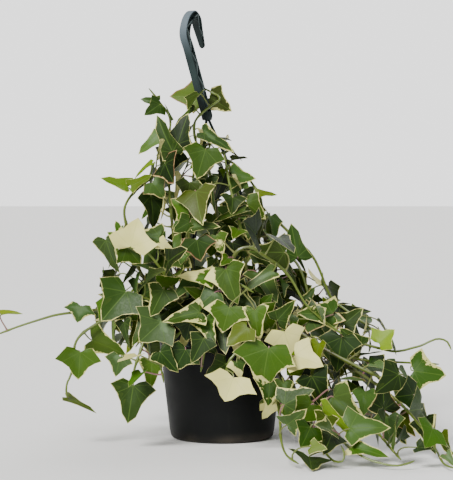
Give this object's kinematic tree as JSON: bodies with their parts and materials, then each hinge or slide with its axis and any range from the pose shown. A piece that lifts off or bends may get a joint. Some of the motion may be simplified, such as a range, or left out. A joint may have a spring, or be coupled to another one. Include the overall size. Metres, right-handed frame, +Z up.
{
  "type": "potted wax ivy",
  "caption": "Variegated wax ivy in a round black nursery pot with a clip-on hanger, vines climbing to the hook and trailing to one side.",
  "frame": {"origin": "centre of the pot's flat underside", "axes": "+Z up, -Y toward the side the plant is seen from, +X toward the side where the long stems trail"},
  "size_m": [0.4459, 0.3511, 0.4265],
  "materials": {
    "pot_plastic": "satin",
    "potting_mix": "matte",
    "hanger_plastic": "satin",
    "vine_green": "satin"
  },
  "bodies": {
    "root": {"pot": "pot_plastic", "soil": "potting_mix", "hanger": "hanger_plastic", "vine_climber_top_left": "vine_green", "vine_climber_hook": "vine_green", "vine_climber_left_arc": "vine_green", "vine_climber_right_arc": "vine_green", "vine_climber_front_left": "vine_green", "vine_climber_front_right": "vine_green", "vine_climber_back_left": "vine_green", "vine_climber_back_right": "vine_green", "vine_arch_right_outer": "vine_green", "vine_arch_right_front": "vine_green", "vine_arch_right_inner": "vine_green", "vine_trail_right_main": "vine_green", "vine_trail_right_floor": "vine_green", "vine_shoot_right_high": "vine_green", "vine_shoot_right_blunt": "vine_green", "vine_drop_front": "vine_green", "vine_drop_front_loop": "vine_green", "vine_trail_right_far": "vine_green", "vine_trail_right_low": "vine_green", "vine_runner_left": "vine_green", "vine_drop_left_loop": "vine_green", "vine_hang_left_front": "vine_green", "vine_hang_left": "vine_green", "vine_spread_left_front": "vine_green", "vine_hang_front_left": "vine_green", "vine_hang_front_middle": "vine_green", "vine_hang_front_right": "vine_green", "vine_spread_front": "vine_green", "vine_spread_front_left": "vine_green", "vine_hang_right_front": "vine_green", "vine_hang_right": "vine_green", "vine_hang_back_right": "vine_green", "vine_hang_back_left": "vine_green", "vine_hang_back_far_right": "vine_green", "vine_hang_back_far_left": "vine_green", "vine_spread_back_left": "vine_green", "vine_spread_back_right": "vine_green", "vine_spread_back": "vine_green"}
  },
  "joints": []
}
